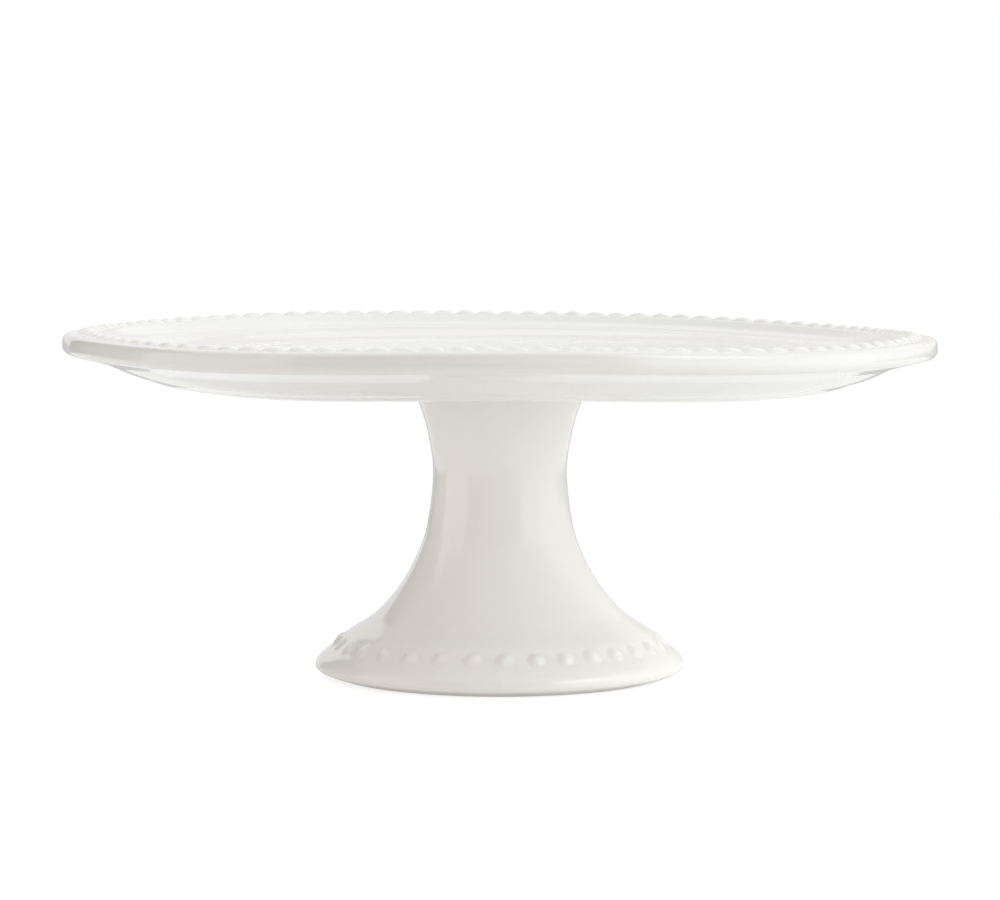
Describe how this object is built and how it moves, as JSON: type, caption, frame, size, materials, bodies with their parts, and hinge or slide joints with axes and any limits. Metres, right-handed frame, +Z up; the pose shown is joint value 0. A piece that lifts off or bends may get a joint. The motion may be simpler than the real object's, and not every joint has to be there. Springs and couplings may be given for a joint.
{
  "type": "cake stand",
  "caption": "Footed cake stand in glossy cream-white stoneware: shallow round plate with a beaded lip on a waisted trumpet pedestal with a pearl-edged foot.",
  "frame": {"origin": "on the table, on the axis of the foot", "axes": "+Z up along the axis of plate and pedestal, -Y to the front, +X to the right"},
  "size_m": [0.33, 0.33, 0.1337],
  "materials": {
    "plate_glaze": "glossy cream-white glaze",
    "bead_glaze": "glossy cream-white glaze pooled between the beads",
    "pedestal_glaze": "glossy cream-white glaze, slightly warmer",
    "pearl_glaze": "glossy cream-white glaze",
    "raw_slip": "fired joining slip under thin glaze"
  },
  "bodies": {
    "root": {"plate": "plate_glaze", "rim_beading": "bead_glaze", "pedestal": "pedestal_glaze", "slip_joint": "raw_slip", "foot_bead_01": "pearl_glaze", "foot_bead_02": "pearl_glaze", "foot_bead_03": "pearl_glaze", "foot_bead_04": "pearl_glaze", "foot_bead_05": "pearl_glaze", "foot_bead_06": "pearl_glaze", "foot_bead_07": "pearl_glaze", "foot_bead_08": "pearl_glaze", "foot_bead_09": "pearl_glaze", "foot_bead_10": "pearl_glaze", "foot_bead_11": "pearl_glaze", "foot_bead_12": "pearl_glaze", "foot_bead_13": "pearl_glaze", "foot_bead_14": "pearl_glaze", "foot_bead_15": "pearl_glaze", "foot_bead_16": "pearl_glaze", "foot_bead_17": "pearl_glaze", "foot_bead_18": "pearl_glaze", "foot_bead_19": "pearl_glaze", "foot_bead_20": "pearl_glaze", "foot_bead_21": "pearl_glaze", "foot_bead_22": "pearl_glaze", "foot_bead_23": "pearl_glaze", "foot_bead_24": "pearl_glaze", "foot_bead_25": "pearl_glaze", "foot_bead_26": "pearl_glaze", "foot_bead_27": "pearl_glaze", "foot_bead_28": "pearl_glaze", "foot_bead_29": "pearl_glaze", "foot_bead_30": "pearl_glaze", "foot_bead_31": "pearl_glaze", "foot_bead_32": "pearl_glaze", "foot_bead_33": "pearl_glaze"}
  },
  "joints": []
}
